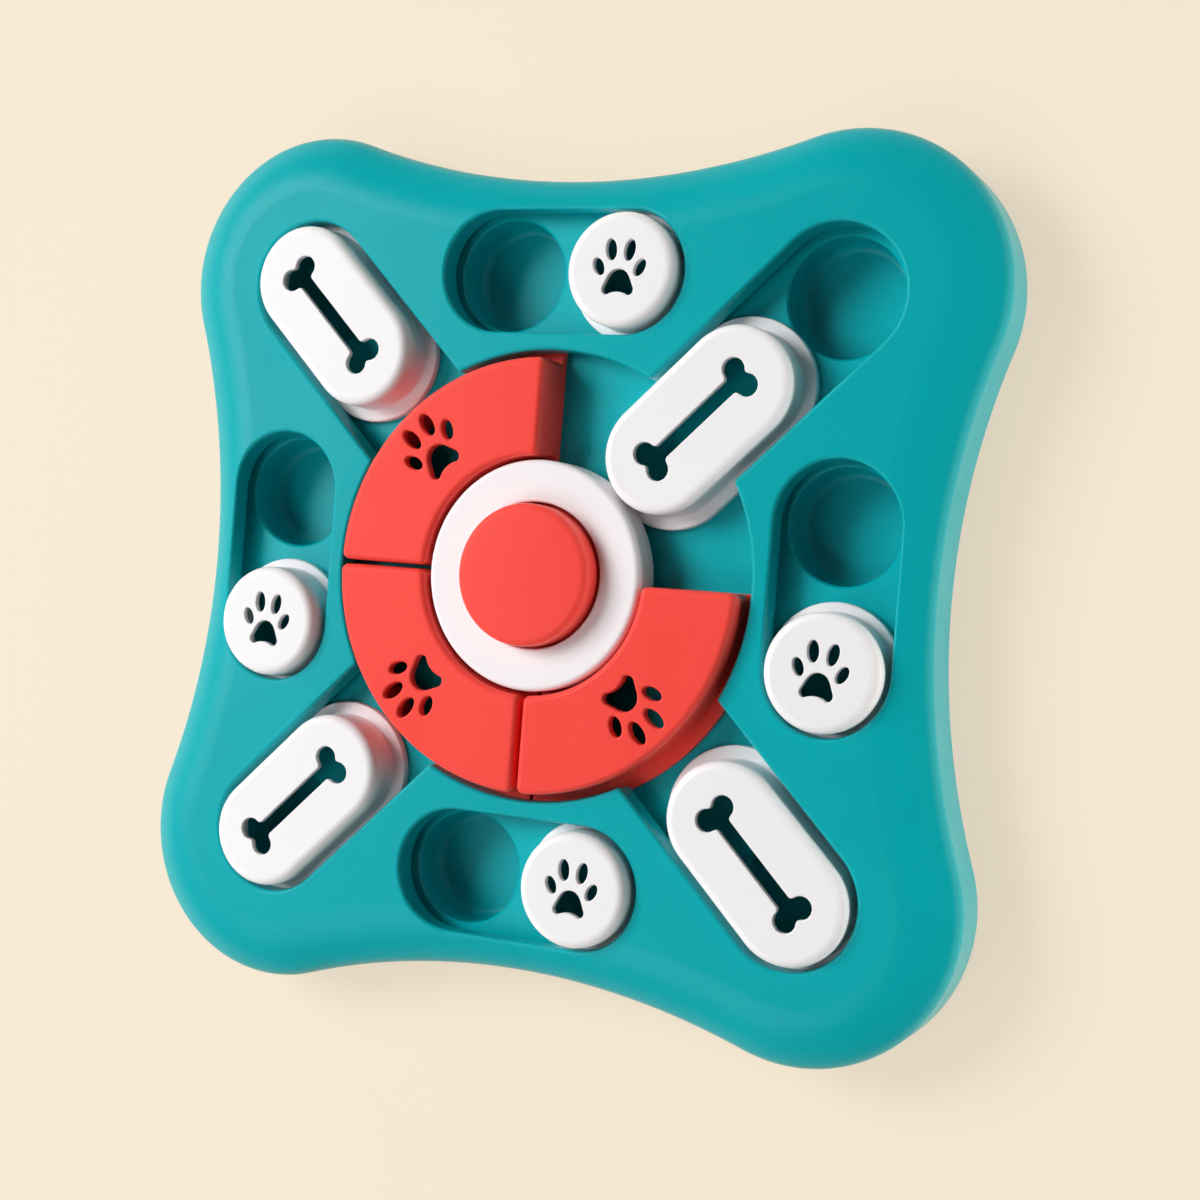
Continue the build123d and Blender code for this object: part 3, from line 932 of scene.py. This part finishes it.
@dataclass(frozen=True)
class PawPrint:
    """Paw-shaped hole: a pad with a hollow foot, and four leaning toes above it."""

    size: float = 1.0
    pad_radius: float = 3.4
    pad_rise: float = 0.2
    foot_radius: float = 1.5
    foot_spread: float = 3.1
    foot_drop: float = 2.0
    arch_radius: float = 6.0
    arch_depth: float = 0.9
    foot_round: float = 0.5  # points between the feet and the arch
    toes: tuple[tuple[float, float, float, float, float], ...] = (
        (1.55, 2.95, 2.75, 8.8, 8.0),
        (1.45, 2.5, 6.1, 4.1, 25.0),
    )  # half-width, half-length, place beside and above the pad, lean

    def _pad(self) -> PlanCurve:
        """The pad, as the hull of three discs with the arch cut out of its foot."""
        foot_x, foot_y = self.foot_spread, -self.foot_drop
        reach = math.hypot(foot_x, self.pad_rise - foot_y)
        slope = math.degrees(math.acos((self.pad_radius - self.foot_radius) / reach))
        shoulder = slope + bearing(foot_x, foot_y - self.pad_rise)
        arch_y = foot_y - self.foot_radius - self.arch_radius + self.arch_depth
        span = math.hypot(foot_x, foot_y - arch_y)
        near, far = self.foot_radius - self.foot_round, self.arch_radius + self.foot_round
        along = (far**2 - near**2 + span**2) / (2.0 * span)
        aside = math.sqrt(far**2 - along**2)
        unit = foot_x / span, (foot_y - arch_y) / span
        corner_x = along * unit[0] + aside * unit[1]
        corner_y = arch_y + along * unit[1] - aside * unit[0]
        from_foot = bearing(corner_x - foot_x, corner_y - foot_y)
        from_arch = bearing(corner_x, corner_y - arch_y)
        point, foot = self.foot_round, self.foot_radius
        return PlanCurve.from_arcs(
            [
                Arc(corner_x, corner_y, point, from_arch - 180.0, from_foot),
                Arc(foot_x, foot_y, foot, from_foot, shoulder),
                Arc(0.0, self.pad_rise, self.pad_radius, shoulder, 180.0 - shoulder),
                Arc(-foot_x, foot_y, foot, 180.0 - shoulder, 180.0 - from_foot),
                Arc(-corner_x, corner_y, point, 180.0 - from_foot, 360.0 - from_arch),
                Arc(0.0, arch_y, self.arch_radius, 180.0 - from_arch, from_arch),
            ]
        )

    def curves(self, x: float, y: float, turn: float) -> list[PlanCurve]:
        """Place the print by the middle of its pad.

        Args:
            x: Place of the pad.
            y: Place of the pad.
            turn: Degrees from toes towards +Y, counterclockwise.

        Returns:
            The pad and the toes.
        """
        made = [self._pad()]
        for half_width, half_length, beside, above, lean in self.toes:
            toe = PlanCurve.ellipse(half_width, half_length)
            made += [toe.placed(side * beside, above, -side * lean) for side in (-1.0, 1.0)]
        return [curve.placed(x, y, turn, self.size) for curve in made]


@dataclass(frozen=True)
class BonePrint:
    """Bone-shaped hole: a shaft with two knobs at each end."""

    length: float = 33.4  # between the knobs of the two ends
    shaft: float = 4.2
    knob_spread: float = 5.8
    knob_radius: float = 3.15
    neck_round: float = 1.2
    notch_round: float = 1.0  # between the two knobs of an end

    def curves(self, x: float, y: float, turn: float) -> list[PlanCurve]:
        """Place the print by its middle.

        Args:
            x: Place of the middle.
            y: Place of the middle.
            turn: Degrees from a shaft along X, counterclockwise.

        Returns:
            The one curve of the print.
        """
        end, rise, knob = self.length / 2.0, self.knob_spread / 2.0, self.knob_radius
        neck_y = self.shaft / 2.0 + self.neck_round
        neck_x = end - math.sqrt((knob + self.neck_round) ** 2 - (rise - neck_y) ** 2)
        notch_x = end + math.sqrt((knob + self.notch_round) ** 2 - rise**2)
        notch, neck = bearing(end - notch_x, rise), bearing(neck_x - end, neck_y - rise)
        half_bone = [
            Arc(notch_x, 0.0, self.notch_round, 360.0 - notch, notch),
            Arc(end, rise, knob, notch - 180.0, neck),
            Arc(neck_x, neck_y, self.neck_round, neck - 180.0, -90.0),
            Arc(-neck_x, neck_y, self.neck_round, -90.0, -neck),
            Arc(-end, rise, knob, 180.0 - neck, 360.0 - notch),
        ]
        arcs = half_bone + [arc.turned(180.0) for arc in half_bone]
        return [PlanCurve.from_arcs(arcs).placed(x, y, turn)]


@dataclass
class HollowCap:
    """Hollow moulded cap on a flange, with holes through its top."""

    plan: BoardPlan
    top: float = 31.5
    edge: float = 2.6  # round along the top edge
    wall: float = 2.0
    roof: float = 1.6
    flange_edge: float = 0.6
    root: float = 0.5  # inside corner between flange and wall
    hole_round: float = 0.4
    play: float = 0.05  # gap between the flange and the track

    def mould(self, plans: Iterable[PlanCurve], holes: Sequence[PlanCurve]) -> Skin:
        """Build the flange, the wall and the top with its holes, round a hollow.

        Args:
            plans: Plans of the block, of its flange and of the hollow inside it.
            holes: Plans of the holes through the top.

        Returns:
            The closed skin.
        """
        skin, (block, flange, hollow) = Skin(), plans
        floor, seat = self.plan.track + self.play, self.plan.track + self.plan.flange
        top, ceiling, edge, brim = self.top, self.top - self.roof, self.edge, self.flange_edge
        side = bend(-brim, seat - brim, brim, 0.0, 90.0, steps=SMALL_STEPS)
        skin.rim(flange, [Station(0.0, floor, 0.0), *side])
        skin.sheet(flange.grown(-brim), [block.grown(self.root)], Level(seat))
        skin.sheet(flange.points, [hollow.points], Level(floor, up=False))
        root = bend(self.root, seat + self.root, self.root, 90.0, 0.0, True, SMALL_STEPS)
        skin.rim(block, root + bend(-edge, top - edge, edge, 0.0, 90.0))
        lip = self.hole_round
        skin.sheet(block.grown(-edge), [hole.grown(lip) for hole in holes], Level(top))
        inward = bend(lip, top - lip, lip, 90.0, 180.0, steps=SMALL_STEPS)
        for hole in holes:
            skin.rim(hole, [*inward, Station(0.0, ceiling, 180.0)])
        skin.sheet(hollow.points, [hole.points for hole in holes], Level(ceiling, up=False))
        skin.steps(hollow, [(0.0, ceiling), (0.0, floor)])
        return skin


@dataclass
class PawSlider(HollowCap):
    """Round slider of a side slot, with a paw print through its top."""

    side: Side = Side.RIGHT
    radius: float = 16.0
    reach: float = 2.7  # flange beyond the block
    print_drop: float = 3.6  # pad below the middle of the slider
    cutout: PawPrint = PawPrint()

    def place(self) -> tuple[float, float, float]:
        """Middle of the slider at the end of its slot where it stands, and its spin there."""
        offset, half = self.plan.side_offset, self.plan.side_travel / 2.0
        return {
            Side.RIGHT: (offset, -half, -6.0),
            Side.TOP: (half, offset, -1.0),
            Side.LEFT: (-offset, -half, -4.0),
            Side.BOTTOM: (half, -offset, -3.0),
        }[self.side]

    def build(self) -> None:
        """Build the slider and dress it."""
        x, y, spin = self.place()
        cosine, sine = ray(spin, self.print_drop)
        radii = (self.radius, self.radius + self.reach, self.radius - self.wall)
        discs = [PlanCurve.from_arcs([Arc(x, y, radius, 0.0, 360.0)]) for radius in radii]
        skin = self.mould(discs, self.cutout.curves(x + sine, y - cosine, spin))
        word = self.side.word
        settle(skin, f"paw_cap_{word}", f"paw_slider_{word}", f"paw_{word}", Slot.WHITE)


@dataclass
class BoneSlider(HollowCap):
    """Long slider of a corner slot, with a bone print through its top."""

    corner: Corner = Corner.TOP_RIGHT
    length: float = 60.5
    width: float = 32.0
    reach: float = 3.6  # flange beyond the block
    near: float = 63.55  # middle of the slider at the hub
    far: float = 100.45  # middle of the slider at the end of its slot
    cutout: BonePrint = BonePrint()

    def build(self) -> None:
        """Build the slider and dress it."""
        turn, word = self.corner.value, self.corner.word
        place = ray(turn, self.near if self.corner is Corner.TOP_RIGHT else self.far)
        straight, half = self.length - self.width, self.width / 2.0
        halves = (half, half + self.reach, half - self.wall)
        slots = [PlanCurve.stadium(straight, each).placed(*place, turn) for each in halves]
        skin = self.mould(slots, self.cutout.curves(*place, turn))
        settle(skin, f"bone_cap_{word}", f"bone_slider_{word}", f"bone_{word}", Slot.WHITE)


@dataclass
class RingSector(HollowCap):
    """Quarter-ring sector that turns round the hub, with a paw print through its top."""

    top: float = 32.5
    edge: float = 1.7
    wall: float = 2.2
    roof: float = 2.5
    flange_edge: float = 0.05
    root: float = 0.05
    hole_round: float = 0.7
    corner: Corner = Corner.TOP_LEFT
    inner: float = 33.3
    outer: float = 60.6
    flange_inner: float = 28.9
    flange_outer: float = 64.2
    end_gap: float = 0.55  # half of the gap between neighbours
    end_step: float = 0.12  # block's end back from the flange's end
    corner_round: float = 2.0
    flange_corner: float = 1.0
    print_radius: float = 43.6
    cutout: PawPrint = PawPrint(size=1.15)

    def _quarter(self, inner: float, outer: float, gap: float, round_: float) -> PlanCurve:
        """Quarter ring with rounded corners, in this sector's quarter.

        Args:
            inner: Inner radius.
            outer: Outer radius.
            gap: Distance of its ends from the axes.
            round_: Radius of its four corners.

        Returns:
            The curve.
        """
        side = gap + round_
        out, inn = (math.sqrt(radius**2 - side**2) for radius in (outer - round_, inner + round_))
        out_lean, in_lean = bearing(out, side), bearing(inn, side)
        arcs = [
            Arc(out, side, round_, -90.0, out_lean),
            Arc(0.0, 0.0, outer, out_lean, 90.0 - out_lean),
            Arc(side, out, round_, 90.0 - out_lean, 180.0),
            Arc(side, inn, round_, 180.0, 270.0 - in_lean),
            Arc(0.0, 0.0, inner, 90.0 - in_lean, in_lean),
            Arc(inn, side, round_, 180.0 + in_lean, 270.0),
        ]
        return PlanCurve.from_arcs([arc.turned(self.corner.value - 45.0) for arc in arcs])

    def build(self) -> None:
        """Build the sector and dress it."""
        turn, word, wall = self.corner.value, self.corner.word, self.wall
        inner, outer, end = self.inner, self.outer, self.end_gap + self.end_step
        sizes = (
            (inner, outer, end, self.corner_round),
            (self.flange_inner, self.flange_outer, self.end_gap, self.flange_corner),
            (inner + wall, outer - wall, end + wall, self.corner_round / 2.0),
        )
        holes = self.cutout.curves(*ray(turn, self.print_radius), turn - 90.0)
        skin = self.mould((self._quarter(*size) for size in sizes), holes)
        settle(skin, f"sector_{word}_shell", f"ring_sector_{word}", f"sector_{word}", Slot.RED)


@dataclass
class HubCollar:
    """White collar round the press button."""

    plan: BoardPlan
    radius: float = 32.2
    hole: float = 20.4
    cavity: float = 23.0
    top: float = 31.0
    ledge: float = 25.0
    outer_round: float = 1.6
    outer_steps: int = 12
    hole_round: float = 0.8
    hole_steps: int = 10
    spokes: int = 144

    def build(self) -> None:
        """Build the collar and dress it."""
        skin, ring, foot = Skin(), PlanCurve.spokes(self.spokes), self.plan.lip_foot
        outer, inner, ledge = self.outer_round, self.hole_round, self.ledge
        profile = [Station(self.radius, foot, 0.0)]
        profile += bend(
            self.radius - outer, self.top - outer, outer, 0.0, 90.0, steps=self.outer_steps
        )
        profile += bend(
            self.hole + inner, self.top - inner, inner, 90.0, 180.0, steps=self.hole_steps
        )
        skin.rim(ring, [*profile, Station(self.hole, ledge, 180.0)])
        below = [(self.hole, ledge), (self.cavity, ledge), (self.cavity, foot), (self.radius, foot)]
        skin.steps(ring, below)
        settle(skin, "hub_ring", "hub_collar", "board", Slot.WHITE)


@dataclass
class PressButton:
    """Red press button, bare on top, with a slight crown."""

    radius: float = 19.7
    top: float = 38.5
    edge: float = 2.2
    edge_steps: int = 12
    crown: float = 0.3
    crown_steps: int = 8
    flange_radius: float = 22.4
    flange_low: float = 22.9
    flange_high: float = 24.9
    wall: float = 2.2
    roof: float = 2.5
    plunger: float = 6.0
    spokes: int = 120

    def build(self) -> None:
        """Build the button and dress it."""
        skin, ring, flat = Skin(), PlanCurve.spokes(self.spokes), self.radius - self.edge
        low, high, ceiling = self.flange_low, self.flange_high, self.top - self.roof
        inside, wide, plunger = self.radius - self.wall, self.flange_radius, self.plunger
        below = [(0.0, low), (plunger, low), (plunger, ceiling), (inside, ceiling)]
        below += [(inside, low), (wide, low), (wide, high), (self.radius, high)]
        skin.steps(ring, below)
        shoulder = self.top - self.crown - self.edge
        slope = math.degrees(math.atan(2.0 * self.crown / flat))
        profile = [Station(self.radius, high, 0.0)]
        profile += bend(flat, shoulder, self.edge, 0.0, 90.0 - slope, steps=self.edge_steps)
        brim = profile[-1]
        for share in np.linspace(1.0, 0.0, self.crown_steps + 1)[1:]:
            height = brim.height + self.crown * (1.0 - share**2)
            profile.append(Station(brim.grow * share, height, 90.0 - slope * share))
        skin.rim(ring, profile)
        settle(skin, "press_button", "centre_button", "button", Slot.RED)


@dataclass
class SqueakerBellows:
    """Folded rubber bellows in the well, built at its full height."""

    floor: float = 5.5
    top: float = 22.9
    radius: float = 14.0
    fold: float = 3.0  # depth of a fold
    folds: int = 4
    wall: float = 1.2
    press: float = 4.0  # travel of the button
    steps: int = 64
    spokes: int = 72

    def _folded(self, inset: float, high: float, inward: bool = False) -> list[Station]:
        """Wavy stations of one side of the folds.

        Args:
            inset: How far inside the outer surface the side lies.
            high: Height of its head.
            inward: True for the inside.

        Returns:
            The stations from foot to head.
        """
        stations, rate = [], 2.0 * math.pi * self.folds / (high - self.floor)
        for height in np.linspace(self.floor, high, self.steps + 1):
            phase = rate * (height - self.floor)
            radius = self.radius - inset - self.fold * (1.0 - math.cos(phase)) / 2.0
            lean = math.degrees(math.atan(self.fold * rate * math.sin(phase) / 2.0))
            stations.append(Station(radius, float(height), 180.0 - lean if inward else lean))
        return stations

    def build(self) -> None:
        """Build the bellows and dress it."""
        skin, ring, ceiling = Skin(), PlanCurve.spokes(self.spokes), self.top - self.wall
        radius, inside = self.radius, self.radius - self.wall
        skin.rim(ring, self._folded(0.0, ceiling))
        skin.steps(ring, [(radius, ceiling), (radius, self.top), (0.0, self.top)])
        skin.steps(ring, [(0.0, ceiling), (inside, ceiling)])
        skin.rim(ring, self._folded(self.wall, ceiling, inward=True))
        skin.steps(ring, [(inside, self.floor), (radius, self.floor)])
        bellows = settle(skin, "bellows_folds", "squeaker_bellows", "board", Slot.RUBBER)
        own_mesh(bellows)


@dataclass
class RubberFeet:
    """Four rubber feet with ringed treads, under the corner pockets."""

    plan: BoardPlan
    seat: float = 3.5
    radius: float = 9.0
    tread: float = 7.5
    edge: float = 0.8
    edge_steps: int = 5
    groove_depth: float = 0.5
    grooves: tuple[tuple[float, float], ...] = ((2.6, 3.4), (4.8, 5.6))  # inner and outer radii
    spokes: int = 48

    def build(self) -> None:
        """Build the feet and dress them."""
        skin, depth, flat = Skin(), self.groove_depth, self.tread - self.edge
        lean = -bearing(self.seat, self.radius - self.tread)
        edge = bend(flat, self.edge, self.edge, -90.0, lean, steps=self.edge_steps)
        sole = [(0.0, 0.0)]
        for inner, outer in self.grooves:
            sole += [(inner, 0.0), (inner, depth), (outer, depth), (outer, 0.0)]
        for corner in Corner:
            ring = PlanCurve.spokes(self.spokes).placed(*ray(corner.value, self.plan.corner_cap))
            skin.steps(ring, [*sole, (flat, 0.0)])
            skin.rim(ring, [*edge, Station(self.radius, self.seat, lean)])
            skin.steps(ring, [(self.radius, self.seat), (0.0, self.seat)])
        settle(skin, "foot_treads", "rubber_feet", "board", Slot.RUBBER)


@dataclass
class TrayAndFixings:
    """Nodes of the frame that keep their own shape: the tray, the reed and the screws."""

    nodes: Mapping[str, bpy.types.Object]
    slots: tuple[tuple[str, Slot], ...] = (
        ("base_tray", Slot.TEAL),
        ("squeaker_reed", Slot.WHITE),
        ("cover_screws", Slot.STEEL),
        ("collar_screws", Slot.STEEL),
    )

    def dress(self) -> None:
        """Give each node its finish."""
        for name, slot in self.slots:
            materials = self.nodes[name].data.materials
            materials.clear()
            materials.append(FINISHES[slot].material())
            LOG.info("%s keeps its shape, in %s", name, slot.value)


# Studio


@dataclass(frozen=True)
class SoftBox:
    """Area lamp that looks at a point, in metres."""

    name: str
    place: tuple[float, float, float]
    aim: tuple[float, float, float]
    width: float
    height: float
    power: float
    mirrored: bool = True  # False for a lamp that shows in no shine

    def build(self) -> None:
        """Hang the lamp."""
        lamp = bpy.data.lights.new(self.name, "AREA")
        lamp.shape, lamp.energy = "RECTANGLE", self.power
        lamp.size, lamp.size_y = self.width, self.height
        hung = bpy.data.objects.new(self.name, lamp)
        hung.location, hung.visible_glossy, hung.visible_camera = self.place, self.mirrored, False
        toward = Vector(self.aim) - Vector(self.place)
        hung.rotation_euler = toward.to_track_quat("-Z", "Y").to_euler()
        bpy.context.scene.collection.objects.link(hung)


@dataclass
class Studio:
    """Pale floor, soft lamps, an even surround and the camera."""

    floor_colour: Colour = (250, 236, 215)
    floor_half: float = 3.0
    floor_roughness: float = 0.9
    floor_evenness: float = 0.75  # share of the floor's look that takes no shadow, near the board
    floor_reach: tuple[float, float] = (0.2, 0.36)  # where that share starts to grow, and is whole
    surround: Colour = (247, 232, 210)
    glow: float = 0.1  # strength of the surround overhead
    horizon: tuple[float, float] = (0.32, 0.08)  # rise above which it is dim, and below which full
    lens: float = 59.3  # millimetres, on a sensor of the size below
    sensor: float = 36.0
    eye: tuple[float, float, float] = (0.23833, 0.0012, 0.52407)
    right: tuple[float, float, float] = (0.9121, 0.0777, -0.4026)
    up: tuple[float, float, float] = (-0.0759, 0.9969, 0.0204)
    lamps: tuple[SoftBox, ...] = (
        SoftBox("key_box", (-1.6, 0.64, 1.74), (0.0, 0.0, 0.03), 1.2, 1.2, 49.0, mirrored=False),
        SoftBox("sheen_box", (-1.5, 0.3, 1.5), (0.0, 0.0, 0.03), 1.4, 0.9, 6.8),
        SoftBox("fill_box", (-0.55, -0.75, 1.25), (0.0, 0.0, 0.03), 0.8, 0.8, 6.6, mirrored=False),
        SoftBox("rim_strip", (0.42, 0.0, 0.014), (0.0, 0.0, 0.014), 0.6, 0.02, 1.0, mirrored=False),
    )

    def build(self) -> None:
        """Set up the floor, the light and the camera."""
        self._floor()
        self._surround()
        for lamp in self.lamps:
            lamp.build()
        self._camera()
        bpy.context.scene.view_settings.view_transform = "Standard"

    def _floor(self) -> None:
        """Lay the floor, whose shadows are seen faintly, straight and in reflections."""
        half = self.floor_half
        mesh = bpy.data.meshes.new("studio_floor")
        corners = [(-half, -half, 0.0), (half, -half, 0.0), (half, half, 0.0), (-half, half, 0.0)]
        mesh.from_pydata(corners, [], [(0, 1, 2, 3)])
        floor = bpy.data.objects.new("studio_floor", mesh)
        bpy.context.scene.collection.objects.link(floor)
        paper = bpy.data.materials.new("floor_paper")
        paper.use_nodes = True
        graph = ShaderGraph(paper.node_tree)
        dull = {"Base Color": linear(self.floor_colour), "Roughness": self.floor_roughness}
        lit = graph.add("ShaderNodeBsdfPrincipled", sockets=dull)
        even = graph.add(
            "ShaderNodeEmission", sockets={"Color": linear(self.surround), "Strength": 1.0}
        )
        away = graph.add(
            "ShaderNodeVectorMath", {"operation": "LENGTH"}, {0: graph.place()}, output="Value"
        )
        share = self.floor_evenness + (1.0 - self.floor_evenness) * away.band(*self.floor_reach)
        kinds = ("Camera", "Glossy", "Transmission")
        seen = [graph.add("ShaderNodeLightPath", output=f"Is {kind} Ray") for kind in kinds]
        sockets = {0: (seen[0] + seen[1] + seen[2]) * share, 1: lit, 2: even}
        graph.finish(graph.add("ShaderNodeMixShader", sockets=sockets))
        mesh.materials.append(paper)

    def _surround(self) -> None:
        """Put a dim ceiling over a bright horizon in the floor's colour."""
        world = bpy.data.worlds.new("studio_surround")
        bpy.context.scene.world = world
        world.use_nodes = True
        graph = ShaderGraph(world.node_tree)
        toward = graph.add("ShaderNodeTexCoord", output="Generated")
        rise = graph.add("ShaderNodeSeparateXYZ", sockets={0: toward}, output="Z")
        ceiling = graph.add("ShaderNodeBackground", sockets={"Strength": self.glow})
        around = graph.add(
            "ShaderNodeBackground", sockets={"Color": linear(self.surround), "Strength": 1.0}
        )
        low = rise.band(*self.horizon)
        sky = graph.add("ShaderNodeMixShader", sockets={0: low, 1: ceiling, 2: around})
        graph.add("ShaderNodeOutputWorld", sockets={"Surface": sky})

    def _camera(self) -> None:
        """Stand the camera where the photograph was taken from."""
        data = bpy.data.cameras.new("photo_camera")
        data.sensor_fit, data.sensor_width, data.lens = "HORIZONTAL", self.sensor, self.lens
        camera = bpy.data.objects.new("photo_camera", data)
        right, up = Vector(self.right).normalized(), Vector(self.up)
        up = (up - up.dot(right) * right).normalized()
        turn = Matrix((right, up, right.cross(up))).transposed().to_4x4()
        camera.matrix_world = Matrix.Translation(self.eye) @ turn
        bpy.context.scene.collection.objects.link(camera)
        bpy.context.scene.camera = camera


def main() -> None:
    """Load the frame, build and dress the board, and set up the studio."""
    logging.basicConfig(level=logging.INFO, format="%(name)s %(message)s")
    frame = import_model()
    plan = BoardPlan()
    CoverShell(plan).build()
    for side in Side:
        PawSlider(plan, side=side).build()
    for corner in Corner:
        BoneSlider(plan, corner=corner).build()
    for corner in (Corner.TOP_LEFT, Corner.BOTTOM_LEFT, Corner.BOTTOM_RIGHT):
        RingSector(plan, corner=corner).build()
    HubCollar(plan).build()
    PressButton().build()
    SqueakerBellows().build()
    RubberFeet(plan).build()
    TrayAndFixings(frame["nodes"]).dress()
    Studio().build()


if __name__ == "__main__":
    main()
